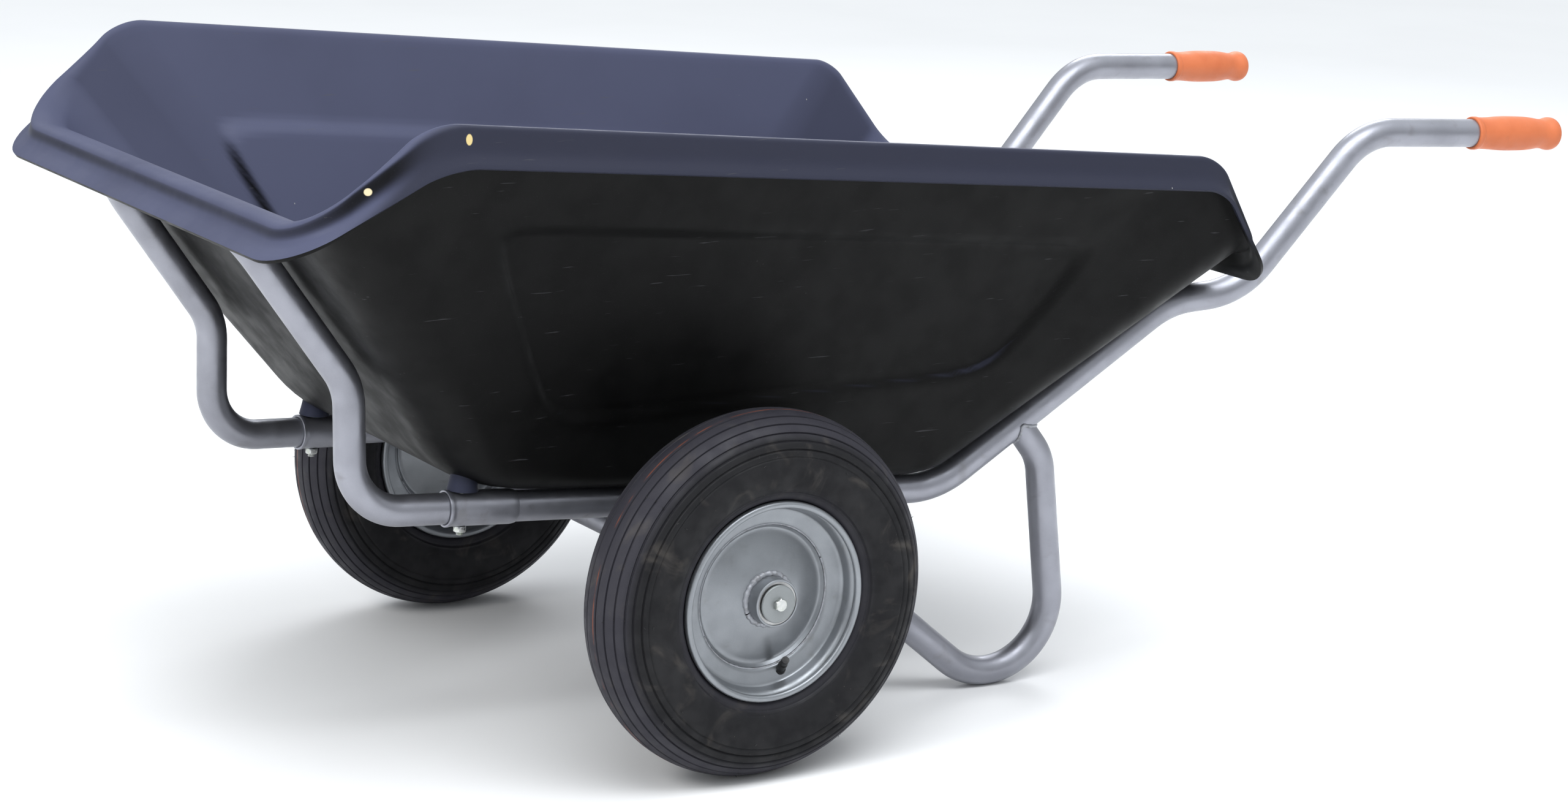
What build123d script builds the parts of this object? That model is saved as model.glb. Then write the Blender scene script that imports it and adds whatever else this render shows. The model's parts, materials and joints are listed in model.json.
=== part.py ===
"""Two-wheeled wheelbarrow: moulded tub on a bent-tube frame with two pneumatic wheels.

Frame: +X towards the nose, +Y towards the barrow's left, +Z up, millimetres.
The origin is on the ground under the middle of the barrow's length and width.
Lengths along X are given from the wheel axle and shifted by AXLE_X as pieces are placed.
"""

from build123d import *
from math import acos, cos, hypot, radians, sin, tan
import os

os.makedirs("parts", exist_ok=True)

# ---------------------------------------------------------------- driving dimensions (mm)
GRIP_END_X = -1175.2        # rear end of the grips, from the axle
FLANGE_FRONT_X = 560.0      # front edge of the pouring lip, from the axle
AXLE_X = -(GRIP_END_X + FLANGE_FRONT_X) / 2.0
AXLE_Z = 200.0              # axle height, half the tyre's diameter

TUBE_OD = 33.7              # frame tube
TUBE_WALL = 2.0
SLEEVE_OD = 38.0
SLEEVE_ID = 34.0

WHEEL_Y = 349.0             # middle plane of each tyre
TYRE_R = 200.0
TYRE_HALF_WIDTH = 49.7
RIM_SHEET = 2.4
HUB_OD = 52.0
HUB_ID = 47.0
HUB_INNER_Y = 303.5
HUB_OUTER_Y = 394.0
BEARING_WIDTH = 14.0
BEARING_BORE = 20.06
JOURNAL_OD = 20.0
JOURNAL_END_Y = 394.6
AXLE_TUBE_OD = 34.0
AXLE_TUBE_ID = 28.0
AXLE_TUBE_HALF = 300.0
WASHER_OD = 44.0
BOLT_D = 8.0

TUB_WALL = 4.0
FLOOR_CORNER_R = 50.0
TOP_CORNER_R = 90.0
RIM_CORNER_R = 60.0
FLOOR_SLOPE = 0.0687        # rise of the tub's floor and the rails towards the nose
RIM_SLOPE = 0.0963          # rise of the tub's side rims towards the nose
FLOOR_Z = 283.6             # underside of the floor above the axle line

RAIL_Z = 263.9              # rail centre above the axle line
RAIL_END_X = 240.0          # front end of each rail, inside its sleeve
BOW_END_X = 243.0           # rear end of the bow, inside the sleeve
SLEEVE_REAR_X = 202.0
SLEEVE_FRONT_X = 282.6
SLEEVE_Y = 179.4            # half the distance between the sleeves' front ends
RAIL_SPLAY = 0.04           # sideways spread of the rails per mm towards the rear

GRIP_START_X = -1042.5
GRIP_BORE = 34.0

M8_HEAD_AF = 13.0
M8_HEAD_H = 5.3
M8_NUT_H = 6.5
BOLT_HOLE_D = 8.4


# ---------------------------------------------------------------- helpers
def at(x, y, z):
    """A point given from the axle line and the ground."""
    return (x + AXLE_X, y, z)


def run_z(x):
    """Height of the rail's bottom run."""
    return RAIL_Z + FLOOR_SLOPE * x


def run_y(x):
    """Sideways place of the rail's bottom run."""
    return SLEEVE_Y + RAIL_SPLAY * (SLEEVE_FRONT_X - x)


def tube(points, radii, od=TUBE_OD, wall=TUBE_WALL):
    """A bent tube along straight runs joined by tangent arcs."""
    start = Vector(*points[0])
    heading = Vector(*points[1]) - start
    with BuildPart() as bent:
        with BuildLine():
            FilletPolyline(*points, radius=radii)
        with BuildSketch(Plane(origin=start, z_dir=heading)):
            Circle(od / 2)
            if wall:
                Circle(od / 2 - wall, mode=Mode.SUBTRACT)
        sweep()
    return bent


def keep(builder, name):
    """Label a finished piece and write its file."""
    builder.part.label = name
    export_step(builder.part, f"parts/{name}.step")


def keep_pair(builder, name):
    """Write the left-hand piece and its mirror image."""
    keep(builder, f"{name}_left")
    with BuildPart() as twin:
        mirror(builder.part, about=Plane.XZ)
    keep(twin, f"{name}_right")


def tilted(z_at_axle, slope):
    """A level across the barrow that rises towards the nose."""
    return Plane(origin=at(0, 0, z_at_axle), x_dir=(1, 0, slope), z_dir=(-slope, 0, 1))


def four_corners(slope, front, rear, front_half, rear_half):
    """Corners of a four-sided outline on a tilted level, from its X limits and half widths."""
    along = hypot(1, slope)
    return [
        (front * along, front_half),
        (rear * along, rear_half),
        (rear * along, -rear_half),
        (front * along, -front_half),
    ]


def cross_block(points, half=500.0):
    """A block across the barrow whose side view is the given outline."""
    with BuildPart() as block:
        with BuildSketch(Plane.XZ) as outline:
            Polygon(*[(x + AXLE_X, z) for x, z in points], align=None)
        extrude(amount=half, both=True)
    return block


WHEEL_PLANE = Plane(origin=at(0, 0, AXLE_Z), x_dir=(0, 1, 0), z_dir=(1, 0, 0))
WHEEL_AXIS = Axis(at(0, 0, AXLE_Z), (0, 1, 0))


def turned(outline, holes=()):
    """A round piece on the wheel axis: outline and holes are lists of (y, radius)."""
    with BuildPart() as piece:
        with BuildSketch(WHEEL_PLANE):
            Polygon(*outline, align=None)
            for hole in holes:
                Polygon(*hole, align=None, mode=Mode.SUBTRACT)
        revolve(axis=WHEEL_AXIS)
    return piece


def ring(y0, y1, inner_r, outer_r):
    """A plain ring on the wheel axis."""
    return turned([(y0, inner_r), (y1, inner_r), (y1, outer_r), (y0, outer_r)])


def pressed(points, radii, sheet):
    """A pressed sheet ring on the wheel axis, along (y, radius) points of its middle line."""
    with BuildPart() as piece:
        with BuildSketch(WHEEL_PLANE):
            with BuildLine():
                FilletPolyline(*points, radius=radii)
            trace(line_width=sheet)
        revolve(axis=WHEEL_AXIS)
    return piece


# ---------------------------------------------------------------- fasteners
FRONT_BOLT_X = 262.0        # through the tub, the sleeve and the end of the bow
REAR_BOLT_X = -236.0        # through the floor and the rail
TUB_BOLTS = (FRONT_BOLT_X, REAR_BOLT_X)
FLOOR_UNDER = (FLOOR_Z - RAIL_Z) / hypot(1, FLOOR_SLOPE)
FLOOR_INSIDE = (FLOOR_Z - RAIL_Z + TUB_WALL) / hypot(1, FLOOR_SLOPE)
BOLT_SEAT = FLOOR_UNDER + 23.0      # flat seat moulded over the rounded front edge
BOSS_D = 26.0
SLEEVE_R = SLEEVE_OD / 2
TUBE_R = TUBE_OD / 2
WASHER_H = 2.2


def bolt_plane(x, side, rise):
    """A plane across a tub bolt's axis, a distance above the rail's centre."""
    along = hypot(1, FLOOR_SLOPE)
    lift = rise / along
    point = at(x - FLOOR_SLOPE * lift, side * run_y(x), run_z(x) + lift)
    return Plane(origin=point, x_dir=(1, 0, FLOOR_SLOPE), z_dir=(-FLOOR_SLOPE, 0, 1))


def bolt_holes(places, radius=BOLT_HOLE_D / 2):
    """Clearance for the tub bolts, from below the rails to inside the tub."""
    with BuildPart() as drills:
        for x in places:
            for side in (1, -1):
                with BuildSketch(bolt_plane(x, side, -40.0)):
                    Circle(radius)
                extrude(amount=90.0)
    return drills


def stacked(x, rises, sizes, hexagon=False, bore=0.0):
    """Round or hexagonal pieces on both bolts at one place, each from one rise to the next."""
    with BuildPart() as group:
        for side in (1, -1):
            for (low, high), size in zip(rises, sizes):
                with BuildSketch(bolt_plane(x, side, low)):
                    if hexagon:
                        RegularPolygon(size / 2, 6, major_radius=False)
                    else:
                        Circle(size / 2)
                    if bore:
                        Circle(bore / 2, mode=Mode.SUBTRACT)
                extrude(amount=high - low)
    return group


# ---------------------------------------------------------------- tub
# Side view of the rolled rim: its ridge and its lower edge, from the nose to the rear.
RIDGE = [(525, 631), (408, 731), (-565, 637), (-650, 516)]
SKIRT = [(563, 594), (470, 636), (391, 690), (-575, 599), (-675, 475)]
# Half outline of the rim from above, from the nose to the rear.
RIM_PLAN = [(560, 372), (391, 400), (-575, 400), (-672, 372)]
# Outer walls: X limits and half widths where they would meet the floor, and at the level above the rims.
FLOOR_OUTLINE = (270.0, -328.0, 208.0, 232.0)
TOP_OUTLINE = (602.7, -789.0, 380.0, 380.0)
TOP_LEVEL_Z = 700.0
# Rounding between the floor and the front, rear and side walls, and each wall's lean from the floor.
EDGE_RADII = (125.0, 80.0, 18.0, 18.0)
EDGE_LEANS = (50.3, 42.1, 66.6, 66.6)
EDGE_LEVELS = (0.0, 2.0, 5.0, 10.0, 18.0, 30.0, 46.0)


def beyond_floor(radius, lean, height):
    """How far a rounded wall reaches past its meeting line with the floor at a height."""
    turn = radians(lean)
    if height < radius * (1 - cos(turn)):
        reached = acos(1 - height / radius)
        return radius * (sin(reached) - tan(turn / 2))
    return height / tan(turn)


def wall_block(inset, rise):
    """The tapering body of the tub, drawn in by an inset and raised by a floor thickness."""
    with BuildPart() as body:
        for height in EDGE_LEVELS:
            reach = [beyond_floor(r, lean, height) - inset for r, lean in zip(EDGE_RADII, EDGE_LEANS)]
            front, rear, front_half, rear_half = FLOOR_OUTLINE
            outline = (front + reach[0], rear - reach[1], front_half + reach[2], rear_half + reach[3])
            with BuildSketch(tilted(FLOOR_Z + rise + height, FLOOR_SLOPE)) as section:
                Polygon(*four_corners(FLOOR_SLOPE, *outline), align=None)
                fillet(section.vertices(), FLOOR_CORNER_R)
        front, rear, front_half, rear_half = TOP_OUTLINE
        outline = (front - inset, rear + inset, front_half - inset, rear_half - inset)
        with BuildSketch(tilted(TOP_LEVEL_Z + rise, RIM_SLOPE)) as top:
            Polygon(*four_corners(RIM_SLOPE, *outline), align=None)
            fillet(top.vertices(), TOP_CORNER_R)
        loft(ruled=True)
    return body


def rim_block(inset):
    """The upright block whose band is the rolled rim."""
    half = [(x + AXLE_X - inset * (1 if x > 0 else -1), y - inset) for x, y in RIM_PLAN]
    with BuildPart() as block:
        with BuildSketch(Plane.XY) as plan:
            Polygon(*half, *[(x, -y) for x, y in half[::-1]], align=None)
            fillet(plan.vertices(), RIM_CORNER_R)
        extrude(amount=TOP_LEVEL_Z + 100)
    return block


def lowered(points, drop):
    """A side-view line moved down."""
    return [(x, z - drop) for x, z in points]


NOSE_X = 700.0
TAIL_X = -900.0
HIGH_Z = 1000.0
nose_top = (NOSE_X, RIDGE[0][1])
tail_top = (TAIL_X, RIDGE[-1][1])
space_above = cross_block([nose_top] + RIDGE + [tail_top, (TAIL_X, HIGH_Z), (NOSE_X, HIGH_Z)])
band = cross_block(RIDGE + SKIRT[::-1])
pocket_band = cross_block(lowered(RIDGE, TUB_WALL * 1.25) + lowered(SKIRT, 20.0)[::-1])
outer_walls = wall_block(0.0, 0.0)
inner_space = wall_block(TUB_WALL / 2, TUB_WALL)

with BuildPart() as rim_pocket:
    add(rim_block(TUB_WALL).part)
    add(pocket_band.part, mode=Mode.INTERSECT)
    add(outer_walls.part, mode=Mode.SUBTRACT)

with BuildPart() as bolt_boss:
    add(stacked(FRONT_BOLT_X, [(0.0, BOLT_SEAT)], [BOSS_D]).part)
    add(outer_walls.part, mode=Mode.INTERSECT)

with BuildPart() as tub:
    add(rim_block(0.0).part)
    add(band.part, mode=Mode.INTERSECT)
    add(outer_walls.part)
    add(rim_pocket.part, mode=Mode.SUBTRACT)
    add(inner_space.part, mode=Mode.SUBTRACT)
    add(space_above.part, mode=Mode.SUBTRACT)
    add(bolt_boss.part)
    add(bolt_holes(TUB_BOLTS).part, mode=Mode.SUBTRACT)

# ---------------------------------------------------------------- frame tubes
RAIL_POINTS = [
    at(RAIL_END_X, run_y(RAIL_END_X), run_z(RAIL_END_X)),
    at(-332.5, run_y(-332.5), run_z(-332.5)),
    at(-618.7, 251.8, 442.8),
    at(-710.9, 267.5, 450.2),
    at(-878.9, 278.9, 629.0),
    at(GRIP_END_X + 9.0, 294.4, 612.8),
]
RAIL_RADII = [100.0, 110.0, 110.0, 90.0]
rail = tube(RAIL_POINTS, RAIL_RADII)
with rail:
    add(bolt_holes([REAR_BOLT_X]).part, mode=Mode.SUBTRACT)

BOW_SIDE = [
    at(BOW_END_X, run_y(BOW_END_X), run_z(BOW_END_X)),
    at(388.5, run_y(388.5), run_z(388.5)),
    at(389.2, 171.0, 424.5),
    at(516.0, 165.5, 604.2),
]
BOW_RADII = [60.0, 70.0, 55.0]
front_bow = tube(
    BOW_SIDE + [(x, -y, z) for x, y, z in BOW_SIDE[::-1]],
    BOW_RADII + BOW_RADII[::-1],
)
with front_bow:
    add(bolt_holes([FRONT_BOLT_X]).part, mode=Mode.SUBTRACT)

sleeve_base = Vector(*at(SLEEVE_REAR_X, run_y(SLEEVE_REAR_X), run_z(SLEEVE_REAR_X)))
sleeve_tip = Vector(*at(SLEEVE_FRONT_X, run_y(SLEEVE_FRONT_X), run_z(SLEEVE_FRONT_X)))
sleeve_plane = Plane(origin=sleeve_base, z_dir=sleeve_tip - sleeve_base)
with BuildPart() as sleeve:
    with BuildSketch(sleeve_plane):
        Circle(SLEEVE_OD / 2)
        Circle(SLEEVE_ID / 2, mode=Mode.SUBTRACT)
    extrude(amount=(sleeve_tip - sleeve_base).length)
    add(bolt_holes([FRONT_BOLT_X]).part, mode=Mode.SUBTRACT)

# Each leg: down and back from under the rail, round the foot, up to the rail's rear slope.
LEG_POINTS = [
    at(-103.0, 194.8, 247.4),
    at(-512.4, 227.2, -96.2),
    at(-465.2, 223.4, 268.0),
    at(-431.0, 220.7, 312.0),
]
rail_solid = tube(RAIL_POINTS, RAIL_RADII, wall=0)
leg_bent = tube(LEG_POINTS, [80.0, 60.0])
with BuildPart() as leg:
    add(leg_bent.part)
    add(rail_solid.part, mode=Mode.SUBTRACT)

# ---------------------------------------------------------------- axle
axle_tube = ring(-AXLE_TUBE_HALF, AXLE_TUBE_HALF, AXLE_TUBE_ID / 2, AXLE_TUBE_OD / 2)

STUB_ROOT_Y = 240.0
COLLAR_END_Y = 303.0
axle_stub = turned(
    [
        (STUB_ROOT_Y, 0),
        (STUB_ROOT_Y, AXLE_TUBE_ID / 2),
        (AXLE_TUBE_HALF, AXLE_TUBE_ID / 2),
        (AXLE_TUBE_HALF, AXLE_TUBE_OD / 2),
        (COLLAR_END_Y, AXLE_TUBE_OD / 2),
        (COLLAR_END_Y, JOURNAL_OD / 2),
        (JOURNAL_END_Y, JOURNAL_OD / 2),
        (JOURNAL_END_Y, BOLT_D / 2),
        (JOURNAL_END_Y - 28.0, BOLT_D / 2),
        (JOURNAL_END_Y - 28.0, 0),
    ]
)

# A welded plate under each rail carries the axle tube.
BRACKET_PLATE = 8.0
BRACKET_TOP_HALF = 36.0
BRACKET_FOOT_HALF = 20.0
BRACKET_FOOT_Z = 194.0
with BuildPart() as axle_bracket:
    with BuildSketch(Plane(origin=at(0, run_y(0), 0), x_dir=(1, 0, 0), z_dir=(0, -1, 0))):
        Polygon(
            (-BRACKET_TOP_HALF, run_z(-BRACKET_TOP_HALF) - 8),
            (BRACKET_TOP_HALF, run_z(BRACKET_TOP_HALF) - 8),
            (BRACKET_FOOT_HALF, BRACKET_FOOT_Z),
            (-BRACKET_FOOT_HALF, BRACKET_FOOT_Z),
            align=None,
        )
    extrude(amount=BRACKET_PLATE / 2, both=True)
    add(rail_solid.part, mode=Mode.SUBTRACT)
    with BuildSketch(Plane(origin=at(0, run_y(0) - BRACKET_PLATE, AXLE_Z), z_dir=(0, 1, 0))):
        Circle(AXLE_TUBE_OD / 2)
    extrude(amount=2 * BRACKET_PLATE, mode=Mode.SUBTRACT)

# ---------------------------------------------------------------- wheels
def y_of(offset):
    """A place across the tyre, given from its middle plane."""
    return WHEEL_Y + offset


rim = pressed(
    [
        (y_of(-34.6), 106.8),
        (y_of(-30.5), 101.8),
        (y_of(-20.0), 99.6),
        (y_of(-9.0), 80.5),
        (y_of(9.0), 80.5),
        (y_of(20.0), 99.6),
        (y_of(30.5), 101.8),
        (y_of(34.6), 106.8),
    ],
    3.5,
    RIM_SHEET,
)
DISC_LINE = [(9.5, 77.4), (11.0, 70.0), (24.0, 36.0), (25.0, 27.6)]
DISC_BEND_R = 5.0
disc_outer = pressed([(y_of(y), r) for y, r in DISC_LINE], DISC_BEND_R, RIM_SHEET)
disc_inner = pressed([(y_of(-y), r) for y, r in DISC_LINE], DISC_BEND_R, RIM_SHEET)
hub = ring(HUB_INNER_Y, HUB_OUTER_Y, HUB_ID / 2, HUB_OD / 2)
SPACER_ID = 20.6
SPACER_OD = 27.0
inner_seat = HUB_INNER_Y + 0.5
outer_seat = HUB_OUTER_Y - 1.0
bearing_outer = ring(outer_seat - BEARING_WIDTH, outer_seat, BEARING_BORE / 2, HUB_ID / 2)
bearing_inner = ring(inner_seat, inner_seat + BEARING_WIDTH, BEARING_BORE / 2, HUB_ID / 2)
spacer = ring(inner_seat + BEARING_WIDTH, outer_seat - BEARING_WIDTH, SPACER_ID / 2, SPACER_OD / 2)

with BuildPart() as tyre:
    with BuildSketch(WHEEL_PLANE):
        with BuildLine():
            Polyline((y_of(-21), 103.2), (y_of(-28.5), 104.2), (y_of(-31.8), 110.0), (y_of(-36), 113))
            ThreePointArc((y_of(-36), 113), (y_of(-TYRE_HALF_WIDTH), 146), (y_of(-40), 181))
            ThreePointArc((y_of(-40), 181), (y_of(0), TYRE_R), (y_of(40), 181))
            ThreePointArc((y_of(40), 181), (y_of(TYRE_HALF_WIDTH), 146), (y_of(36), 113))
            Polyline((y_of(36), 113), (y_of(31.8), 110), (y_of(28.5), 104.2), (y_of(21), 103.2))
            Line((y_of(21), 103.2), (y_of(25), 114))
            ThreePointArc((y_of(25), 114), (y_of(44), 146), (y_of(34), 176.5))
            ThreePointArc((y_of(34), 176.5), (y_of(0), TYRE_R - 9), (y_of(-34), 176.5))
            ThreePointArc((y_of(-34), 176.5), (y_of(-44), 146), (y_of(-25), 114))
            Line((y_of(-25), 114), (y_of(-21), 103.2))
        make_face()
    revolve(axis=WHEEL_AXIS)

with BuildPart() as inner_tube:
    with BuildSketch(WHEEL_PLANE):
        with Locations((WHEEL_Y, 149.0)):
            Ellipse(40, 38)
            Ellipse(38, 36, mode=Mode.SUBTRACT)
    revolve(axis=WHEEL_AXIS)

# The valve stands out of the rim's outer slope and leans away from the wheel's middle plane.
VALVE_TURN = 16.0           # from straight down towards the rear
VALVE_SEAT = (14.5, 90.0)   # (y from the middle plane, radius) where it passes the rim
VALVE_ANGLE = 46.0          # lean from the radius towards the outside
VALVE_LEAN = (sin(radians(VALVE_ANGLE)), -cos(radians(VALVE_ANGLE)))
down = Vector(-sin(radians(VALVE_TURN)), 0, -cos(radians(VALVE_TURN)))


def valve_plane(distance):
    """A plane across the valve, a distance out from the rim along it."""
    y = WHEEL_Y + VALVE_SEAT[0] + VALVE_LEAN[0] * distance
    radius = VALVE_SEAT[1] + VALVE_LEAN[1] * distance
    point = Vector(*at(0, y, AXLE_Z)) + down * radius
    return Plane(origin=point, z_dir=down * VALVE_LEAN[1] + Vector(0, VALVE_LEAN[0], 0))


def valve_stack(stages):
    """Round steps along the valve's axis, each (start, end, diameter)."""
    with BuildPart() as stem:
        for start, end, diameter in stages:
            with BuildSketch(valve_plane(start)):
                Circle(diameter / 2)
            extrude(amount=end - start)
    return stem


VALVE_STEPS = [(-14.0, -2.0, 8.0), (-2.0, 3.4, 9.6), (3.4, 6.5, 12.0), (6.5, 18.0, 9.6), (18.0, 21.0, 7.0)]
valve = valve_stack(VALVE_STEPS)
valve_cap = valve_stack([(21.0, 28.5, 8.4)])
with rim:
    add(valve_stack([(-5.0, 5.0, 9.6)]).part, mode=Mode.SUBTRACT)

washer = ring(JOURNAL_END_Y, JOURNAL_END_Y + 2.5, BOLT_HOLE_D / 2, WASHER_OD / 2)
HEAD_Y = JOURNAL_END_Y + 2.5
with BuildPart() as axle_bolt:
    with BuildSketch(Plane(origin=at(0, HEAD_Y, AXLE_Z), z_dir=(0, 1, 0))):
        RegularPolygon(M8_HEAD_AF / 2, 6, major_radius=False)
    extrude(amount=M8_HEAD_H)
    with BuildSketch(Plane(origin=at(0, HEAD_Y, AXLE_Z), z_dir=(0, -1, 0))):
        Circle(BOLT_D / 2 - 0.05)
    extrude(amount=26.0)

# ---------------------------------------------------------------- tub bolts
THREAD_PAST_NUT = 3.5
BOLT_HEAD_D = 16.0          # round head
BOLT_WASHER_D = 22.0
SPACER_RING_D = 26.0
for name, x, seat, radius in (
    ("front", FRONT_BOLT_X, BOLT_SEAT, SLEEVE_R),
    ("rear", REAR_BOLT_X, FLOOR_INSIDE, TUBE_R),
):
    head = seat + WASHER_H
    shank_end = -radius - M8_NUT_H - THREAD_PAST_NUT
    bolts = stacked(x, [(shank_end, head), (head, head + M8_HEAD_H)], [BOLT_D, BOLT_HEAD_D])
    keep(bolts, f"tub_bolts_{name}")
    keep(stacked(x, [(seat, head)], [BOLT_WASHER_D], bore=BOLT_HOLE_D), f"tub_washers_{name}")
    nuts = stacked(x, [(-radius - M8_NUT_H, -radius)], [M8_HEAD_AF], True, BOLT_D)
    keep(nuts, f"tub_nuts_{name}")
top_nuts = stacked(FRONT_BOLT_X, [(SLEEVE_R, SLEEVE_R + M8_NUT_H)], [M8_HEAD_AF], True, BOLT_D)
keep(top_nuts, "sleeve_nuts")
floor_rings = stacked(REAR_BOLT_X, [(TUBE_R, FLOOR_UNDER)], [SPACER_RING_D], bore=BOLT_HOLE_D)
keep(floor_rings, "tub_spacers")

# ---------------------------------------------------------------- grips
handle_bend = Vector(*RAIL_POINTS[-2])
handle_end = Vector(*RAIL_POINTS[-1])
handle_run = (handle_end - handle_bend) * (1 / (handle_end.X - handle_bend.X))
grip_root = handle_bend + handle_run * (GRIP_START_X + AXLE_X - handle_bend.X)
grip_axis = handle_run * (GRIP_END_X - GRIP_START_X)
GRIP_LENGTH = grip_axis.length
TUBE_STOP = GRIP_LENGTH - 8
GRIP_PLANE = Plane(origin=grip_root, x_dir=grip_axis, z_dir=(0, 1, 0.05))
with BuildPart() as grip:
    with BuildSketch(GRIP_PLANE):
        with BuildLine():
            Polyline((0, GRIP_BORE / 2), (0, 18.8), (2.5, 19.8), (7, 19.8))
            Spline((7, 19.8), (18, 18.9), (48, 21.0), (84, 20.2), (109, 17.6), (121, 20.2))
            ThreePointArc((121, 20.2), (129.5, 17.0), (GRIP_LENGTH, 8))
            Polyline((GRIP_LENGTH, 8), (GRIP_LENGTH, 0), (TUBE_STOP, 0))
            Polyline((TUBE_STOP, 0), (TUBE_STOP, GRIP_BORE / 2), (0, GRIP_BORE / 2))
        make_face()
    revolve(axis=Axis(grip_root, grip_axis))

# ---------------------------------------------------------------- files
keep(tub, "tub")
keep(front_bow, "front_bow")
keep(axle_tube, "axle_tube")
PAIRS = {
    "rail": rail,
    "sleeve": sleeve,
    "leg": leg,
    "grip": grip,
    "axle_bracket": axle_bracket,
    "axle_stub": axle_stub,
    "axle_washer": washer,
    "axle_bolt": axle_bolt,
    "tyre": tyre,
    "inner_tube": inner_tube,
    "valve": valve,
    "valve_cap": valve_cap,
    "rim": rim,
    "disc_outer": disc_outer,
    "disc_inner": disc_inner,
    "hub": hub,
    "bearing_outer": bearing_outer,
    "bearing_inner": bearing_inner,
    "hub_spacer": spacer,
}
for name, builder in PAIRS.items():
    keep_pair(builder, name)
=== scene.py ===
"""Looks of the two-wheeled wheelbarrow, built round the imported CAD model.

Lengths are millimetres from the wheel axle line (x), the middle (y) and the ground (z).
place() turns them into metres in the part's frame, where +X is the nose and +Y the barrow's left.
"""

import json
import math

import bmesh
import bpy
import numpy as np
from mathutils import Matrix, Vector, noise


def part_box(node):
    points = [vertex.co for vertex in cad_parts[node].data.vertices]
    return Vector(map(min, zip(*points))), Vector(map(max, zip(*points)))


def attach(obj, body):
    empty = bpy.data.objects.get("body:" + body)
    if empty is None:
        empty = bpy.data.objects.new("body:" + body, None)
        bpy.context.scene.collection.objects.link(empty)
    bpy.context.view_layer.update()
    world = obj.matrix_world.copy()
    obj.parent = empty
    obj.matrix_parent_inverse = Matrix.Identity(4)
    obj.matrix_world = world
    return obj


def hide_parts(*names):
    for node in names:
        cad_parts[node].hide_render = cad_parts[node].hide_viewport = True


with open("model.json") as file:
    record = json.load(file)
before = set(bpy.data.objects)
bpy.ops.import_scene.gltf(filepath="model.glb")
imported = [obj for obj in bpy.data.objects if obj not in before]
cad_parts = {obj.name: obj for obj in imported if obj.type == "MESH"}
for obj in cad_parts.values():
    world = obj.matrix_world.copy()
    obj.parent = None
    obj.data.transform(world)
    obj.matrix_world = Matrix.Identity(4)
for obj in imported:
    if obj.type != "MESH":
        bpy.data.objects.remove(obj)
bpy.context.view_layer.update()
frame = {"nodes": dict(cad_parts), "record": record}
nodes = frame["nodes"]
MM = 0.001
hub_low, hub_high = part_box("hub_left")
AXLE_X = (hub_low.x + hub_high.x) / 2
AXLE_Z = (hub_low.z + hub_high.z) / 2 / MM
SIDES = (("left", 1), ("right", -1))


def place(x, y, z):
    """A point in metres in the part's frame."""
    return Vector((x * MM + AXLE_X, y * MM, z * MM))


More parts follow.
